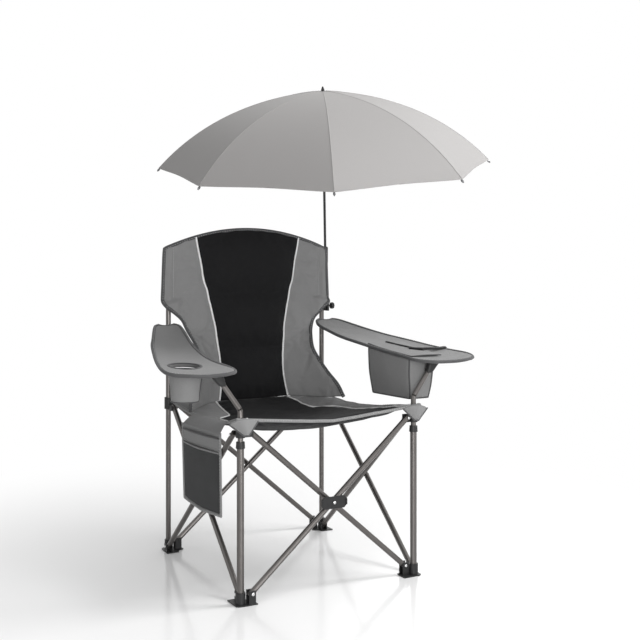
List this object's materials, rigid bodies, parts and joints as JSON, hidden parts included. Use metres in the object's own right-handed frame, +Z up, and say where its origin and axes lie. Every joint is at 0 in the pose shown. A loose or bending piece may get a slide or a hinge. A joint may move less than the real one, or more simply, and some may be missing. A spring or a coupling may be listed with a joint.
{
  "type": "umbrella chair",
  "caption": "Folding padded camp chair with crossed tube legs, cup holder, cooler bag, side pocket and a tilting clamp-on sunshade.",
  "frame": {"origin": "centre of the whole object's box, on the ground", "axes": "+Z up; the sitter faces -Y; +X is the sitter's left, the viewer's right from the front"},
  "size_m": [1.2822, 1.0858, 1.4998],
  "materials": {
    "tube": "satin gunmetal coat",
    "silver": "satin silver",
    "moulding": "black nylon moulding",
    "grey_cloth": "woven polyester, mid grey",
    "dark_cloth": "padded woven polyester, black",
    "shade_cloth": "coated light grey shade cloth",
    "wire": "black coated wire"
  },
  "bodies": {
    "root": {"rear_left_foot": "moulding", "rear_left_post": "tube", "seat": "dark_cloth", "back": "dark_cloth", "side_pocket": "grey_cloth"},
    "rear_tube_a": {"rear_tube_1": "tube"},
    "rear_tube_b": {"rear_tube_2": "tube"},
    "rear_right": {"rear_right_foot": "moulding", "rear_right_post": "tube", "clamp_body": "moulding"},
    "rear_left_slider": {"rear_left_bracket": "moulding"},
    "rear_right_slider": {"rear_right_bracket": "moulding"},
    "left_tube_a": {"left_tube_1": "tube"},
    "left_tube_b": {"left_tube_2": "tube"},
    "front_left": {"front_left_foot": "moulding", "front_left_post": "tube", "front_left_collar": "moulding"},
    "front_left_arm": {"front_left_bracket": "moulding", "left_arm_tube": "tube", "left_armrest": "grey_cloth", "cup_holder": "grey_cloth"},
    "right_tube_a": {"right_tube_1": "tube"},
    "right_tube_b": {"right_tube_2": "tube"},
    "front_right": {"front_right_foot": "moulding", "front_right_post": "tube", "front_right_collar": "moulding"},
    "front_right_arm": {"front_right_bracket": "moulding", "right_arm_tube": "tube", "right_armrest": "grey_cloth", "cooler_bag": "grey_cloth"},
    "front_tube_a": {"front_tube_1": "tube", "hub_bracket": "moulding"},
    "front_tube_b": {"front_tube_2": "tube"},
    "lid": {"cooler_lid": "grey_cloth"},
    "jaw": {"clamp_jaw": "moulding"},
    "knob": {"clamp_knob": "moulding"},
    "pole": {"lower_pole": "silver", "tilt_collar": "moulding"},
    "shaft": {"shaft": "moulding", "crown": "moulding", "canopy": "shade_cloth"},
    "catch": {"shaft_catch": "moulding"},
    "runner": {"runner": "moulding"},
    "rib_1": {"rib_1": "wire"},
    "stretcher_1": {"stretcher_1": "wire"},
    "rib_2": {"rib_2": "wire"},
    "stretcher_2": {"stretcher_2": "wire"},
    "rib_3": {"rib_3": "wire"},
    "stretcher_3": {"stretcher_3": "wire"},
    "rib_4": {"rib_4": "wire"},
    "stretcher_4": {"stretcher_4": "wire"},
    "rib_5": {"rib_5": "wire"},
    "stretcher_5": {"stretcher_5": "wire"},
    "rib_6": {"rib_6": "wire"},
    "stretcher_6": {"stretcher_6": "wire"},
    "rib_7": {"rib_7": "wire"},
    "stretcher_7": {"stretcher_7": "wire"},
    "rib_8": {"rib_8": "wire"},
    "stretcher_8": {"stretcher_8": "wire"}
  },
  "joints": [
    {"name": "frame_fold", "type": "hinge", "parent": "root", "child": "rear_tube_a", "pos_m": [-0.40455, 0.04389, 0.03], "axis": [0, -1, 0], "range_deg": [0, 41], "deforming": ["seat", "back", "left_armrest", "right_armrest", "cooler_bag", "cooler_lid", "side_pocket"]},
    {"name": "rear_crossing", "type": "hinge", "parent": "rear_tube_a", "child": "rear_tube_b", "pos_m": [-0.15455, 0.04389, 0.247], "axis": [0, 1, 0], "range_deg": [0, 82]},
    {"name": "rear_right_foot_pivot", "type": "hinge", "parent": "rear_tube_b", "child": "rear_right", "pos_m": [0.09545, 0.06229, 0.03], "axis": [0, -1, 0], "range_deg": [0, 41]},
    {"name": "rear_left_slider_pivot", "type": "hinge", "parent": "rear_tube_b", "child": "rear_left_slider", "pos_m": [-0.40455, 0.06229, 0.464], "axis": [0, -1, 0], "range_deg": [0, 41]},
    {"name": "rear_right_slider_pivot", "type": "hinge", "parent": "rear_tube_a", "child": "rear_right_slider", "pos_m": [0.09545, 0.04389, 0.464], "axis": [0, 1, 0], "range_deg": [0, 41]},
    {"name": "left_foot_pivot", "type": "hinge", "parent": "root", "child": "left_tube_a", "pos_m": [-0.44175, 0.02509, 0.019], "axis": [-1, 0, 0], "range_deg": [0, 41]},
    {"name": "left_crossing", "type": "hinge", "parent": "left_tube_a", "child": "left_tube_b", "pos_m": [-0.44175, -0.22491, 0.236], "axis": [1, 0, 0], "range_deg": [0, 82]},
    {"name": "front_left_foot_pivot", "type": "hinge", "parent": "left_tube_b", "child": "front_left", "pos_m": [-0.42335, -0.47491, 0.019], "axis": [-1, 0, 0], "range_deg": [0, 41]},
    {"name": "front_left_arm_pivot", "type": "hinge", "parent": "left_tube_a", "child": "front_left_arm", "pos_m": [-0.44175, -0.47491, 0.453], "axis": [1, 0, 0], "range_deg": [0, 41]},
    {"name": "right_foot_pivot", "type": "hinge", "parent": "rear_right", "child": "right_tube_a", "pos_m": [0.11425, 0.02509, 0.019], "axis": [-1, 0, 0], "range_deg": [0, 41]},
    {"name": "right_crossing", "type": "hinge", "parent": "right_tube_a", "child": "right_tube_b", "pos_m": [0.11425, -0.22491, 0.236], "axis": [1, 0, 0], "range_deg": [0, 82]},
    {"name": "front_right_foot_pivot", "type": "hinge", "parent": "right_tube_b", "child": "front_right", "pos_m": [0.13265, -0.47491, 0.019], "axis": [-1, 0, 0], "range_deg": [0, 41]},
    {"name": "front_right_arm_pivot", "type": "hinge", "parent": "right_tube_a", "child": "front_right_arm", "pos_m": [0.11425, -0.47491, 0.453], "axis": [1, 0, 0], "range_deg": [0, 41]},
    {"name": "front_foot_pivot", "type": "hinge", "parent": "front_left", "child": "front_tube_a", "pos_m": [-0.40455, -0.51211, 0.03], "axis": [0, -1, 0], "range_deg": [0, 41]},
    {"name": "front_crossing", "type": "hinge", "parent": "front_tube_a", "child": "front_tube_b", "pos_m": [-0.15455, -0.51211, 0.247], "axis": [0, 1, 0], "range_deg": [0, 82]},
    {"name": "lid_hinge", "type": "hinge", "parent": "front_right_arm", "child": "lid", "pos_m": [0.23045, -0.38791, 0.64924], "axis": [0, 1, 0], "range_deg": [0, 100]},
    {"name": "clamp_slide", "type": "slide", "parent": "rear_right", "child": "jaw", "axis": [1, 0, 0], "range_m": [0, 0.0035]},
    {"name": "knob_turn", "type": "hinge", "parent": "jaw", "child": "knob", "pos_m": [0.15895, 0.05309, 0.761], "axis": [1, 0, 0], "range_deg": [0, 1020]},
    {"name": "pole_swivel", "type": "hinge", "parent": "rear_right", "child": "pole", "pos_m": [0.14775, 0.07069, 0.744], "axis": [0, 0, 1], "range_deg": [-180, 180]},
    {"name": "shade_tilt", "type": "hinge", "parent": "pole", "child": "shaft", "pos_m": [0.14775, 0.07069, 0.955], "axis": [-0.8396, 0.5432, 0], "range_deg": [-15, 28]},
    {"name": "catch_press", "type": "slide", "parent": "shaft", "child": "catch", "axis": [0.4269, 0.8747, 0.2293], "range_m": [0, 0.0022], "stiffness_N_per_m": 300, "springref_m": -0.001},
    {"name": "rib_1_fold", "type": "hinge", "parent": "shaft", "child": "rib_1", "pos_m": [0.07615, -0.04263, 1.46688], "axis": [0.8955, -0.4442, 0.0269], "range_deg": [0, 62], "deforming": ["canopy"]},
    {"name": "stretcher_1_fold", "type": "hinge", "parent": "rib_1", "child": "stretcher_1", "pos_m": [0.00451, -0.1907, 1.40716], "axis": [-0.8955, 0.4442, -0.0269], "range_deg": [0, 124]},
    {"name": "runner_fold", "type": "hinge", "parent": "stretcher_1", "child": "runner", "pos_m": [0.08127, -0.03471, 1.42715], "axis": [0.8955, -0.4442, 0.0269], "range_deg": [0, 62]},
    {"name": "rib_2_fold", "type": "hinge", "parent": "shaft", "child": "rib_2", "pos_m": [0.08548, -0.04334, 1.46795], "axis": [0.9351, 0.3045, 0.1812], "range_deg": [0, 62]},
    {"name": "stretcher_2_fold", "type": "hinge", "parent": "rib_2", "child": "stretcher_2", "pos_m": [0.14563, -0.20147, 1.42321], "axis": [-0.9351, -0.3045, -0.1812], "range_deg": [0, 124]},
    {"name": "rib_3_fold", "type": "hinge", "parent": "shaft", "child": "rib_3", "pos_m": [0.09241, -0.03733, 1.47004], "axis": [0.4269, 0.8747, 0.2293], "range_deg": [0, 62]},
    {"name": "stretcher_3_fold", "type": "hinge", "parent": "rib_3", "child": "stretcher_3", "pos_m": [0.25063, -0.11057, 1.45485], "axis": [-0.4269, -0.8747, -0.2293], "range_deg": [0, 124]},
    {"name": "rib_4_fold", "type": "hinge", "parent": "shaft", "child": "rib_4", "pos_m": [0.0929, -0.02812, 1.47193], "axis": [-0.3314, 0.9326, 0.1431], "range_deg": [0, 62]},
    {"name": "stretcher_4_fold", "type": "hinge", "parent": "rib_4", "child": "stretcher_4", "pos_m": [0.25799, 0.02875, 1.48356], "axis": [0.3314, -0.9326, -0.1431], "range_deg": [0, 124]},
    {"name": "rib_5_fold", "type": "hinge", "parent": "shaft", "child": "rib_5", "pos_m": [0.08665, -0.02111, 1.47253], "axis": [-0.8955, 0.4442, -0.0269], "range_deg": [0, 62]},
    {"name": "stretcher_5_fold", "type": "hinge", "parent": "rib_5", "child": "stretcher_5", "pos_m": [0.16341, 0.13488, 1.49252], "axis": [0.8955, -0.4442, 0.0269], "range_deg": [0, 124]},
    {"name": "rib_6_fold", "type": "hinge", "parent": "shaft", "child": "rib_6", "pos_m": [0.07732, -0.0204, 1.47147], "axis": [-0.9351, -0.3045, -0.1812], "range_deg": [0, 62]},
    {"name": "stretcher_6_fold", "type": "hinge", "parent": "rib_6", "child": "stretcher_6", "pos_m": [0.02229, 0.14565, 1.47647], "axis": [0.9351, 0.3045, 0.1812], "range_deg": [0, 124]},
    {"name": "rib_7_fold", "type": "hinge", "parent": "shaft", "child": "rib_7", "pos_m": [0.07039, -0.0264, 1.46937], "axis": [-0.4269, -0.8747, -0.2293], "range_deg": [0, 62]},
    {"name": "stretcher_7_fold", "type": "hinge", "parent": "rib_7", "child": "stretcher_7", "pos_m": [-0.08271, 0.05475, 1.44483], "axis": [0.4269, 0.8747, 0.2293], "range_deg": [0, 124]},
    {"name": "rib_8_fold", "type": "hinge", "parent": "shaft", "child": "rib_8", "pos_m": [0.0699, -0.03561, 1.46748], "axis": [0.3314, -0.9326, -0.1431], "range_deg": [0, 62]},
    {"name": "stretcher_8_fold", "type": "hinge", "parent": "rib_8", "child": "stretcher_8", "pos_m": [-0.09007, -0.08457, 1.41612], "axis": [-0.3314, 0.9326, 0.1431], "range_deg": [0, 124]}
  ],
  "couplings": [
    {"joint": "rear_crossing", "follows": "frame_fold", "ratio": 2},
    {"joint": "rear_right_foot_pivot", "follows": "frame_fold", "ratio": 1},
    {"joint": "rear_left_slider_pivot", "follows": "frame_fold", "ratio": 1},
    {"joint": "rear_right_slider_pivot", "follows": "frame_fold", "ratio": 1},
    {"joint": "left_foot_pivot", "follows": "frame_fold", "ratio": 1},
    {"joint": "left_crossing", "follows": "frame_fold", "ratio": 2},
    {"joint": "front_left_foot_pivot", "follows": "frame_fold", "ratio": 1},
    {"joint": "front_left_arm_pivot", "follows": "frame_fold", "ratio": 1},
    {"joint": "right_foot_pivot", "follows": "frame_fold", "ratio": 1},
    {"joint": "right_crossing", "follows": "frame_fold", "ratio": 2},
    {"joint": "front_right_foot_pivot", "follows": "frame_fold", "ratio": 1},
    {"joint": "front_right_arm_pivot", "follows": "frame_fold", "ratio": 1},
    {"joint": "front_foot_pivot", "follows": "frame_fold", "ratio": 1},
    {"joint": "front_crossing", "follows": "frame_fold", "ratio": 2},
    {"joint": "knob_turn", "follows": "clamp_slide", "rad_per_m": 5026.5},
    {"joint": "stretcher_1_fold", "follows": "rib_1_fold", "ratio": 2},
    {"joint": "runner_fold", "follows": "rib_1_fold", "ratio": 1},
    {"joint": "rib_2_fold", "follows": "rib_1_fold", "ratio": 1},
    {"joint": "stretcher_2_fold", "follows": "rib_1_fold", "ratio": 2},
    {"joint": "rib_3_fold", "follows": "rib_1_fold", "ratio": 1},
    {"joint": "stretcher_3_fold", "follows": "rib_1_fold", "ratio": 2},
    {"joint": "rib_4_fold", "follows": "rib_1_fold", "ratio": 1},
    {"joint": "stretcher_4_fold", "follows": "rib_1_fold", "ratio": 2},
    {"joint": "rib_5_fold", "follows": "rib_1_fold", "ratio": 1},
    {"joint": "stretcher_5_fold", "follows": "rib_1_fold", "ratio": 2},
    {"joint": "rib_6_fold", "follows": "rib_1_fold", "ratio": 1},
    {"joint": "stretcher_6_fold", "follows": "rib_1_fold", "ratio": 2},
    {"joint": "rib_7_fold", "follows": "rib_1_fold", "ratio": 1},
    {"joint": "stretcher_7_fold", "follows": "rib_1_fold", "ratio": 2},
    {"joint": "rib_8_fold", "follows": "rib_1_fold", "ratio": 1},
    {"joint": "stretcher_8_fold", "follows": "rib_1_fold", "ratio": 2}
  ]
}
